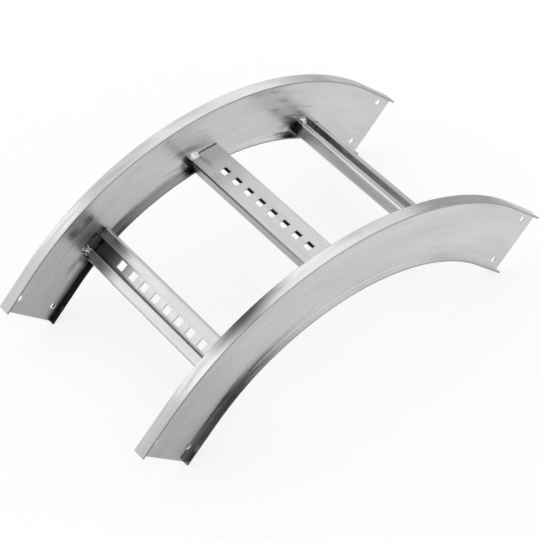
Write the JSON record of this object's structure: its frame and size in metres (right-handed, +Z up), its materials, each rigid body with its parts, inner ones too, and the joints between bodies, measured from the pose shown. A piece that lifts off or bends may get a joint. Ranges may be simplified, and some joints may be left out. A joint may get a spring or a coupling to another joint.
{
  "type": "cable tray vertical elbow",
  "caption": "Ladder-type cable tray vertical elbow: bent I-section side rails joined by lipped channel rungs, splice holes at each rail end.",
  "frame": {"origin": "middle of the footprint, on the floor that the arch stands on", "axes": "+Z up through the crown of the arch, X along the chord of the bend from the left end to the right end, Y across the tray from the near rail to the far rail"},
  "size_m": [0.7086, 0.3396, 0.2464],
  "materials": {
    "rail_metal": "mill-finish extruded aluminium, semi-gloss, fine streaks along the rail",
    "rung_metal": "mill-finish aluminium channel, semi-gloss"
  },
  "bodies": {
    "root": {"side_rail_near": "rail_metal", "side_rail_far": "rail_metal", "rung_left": "rung_metal", "rung_middle": "rung_metal", "rung_right": "rung_metal"}
  },
  "joints": []
}
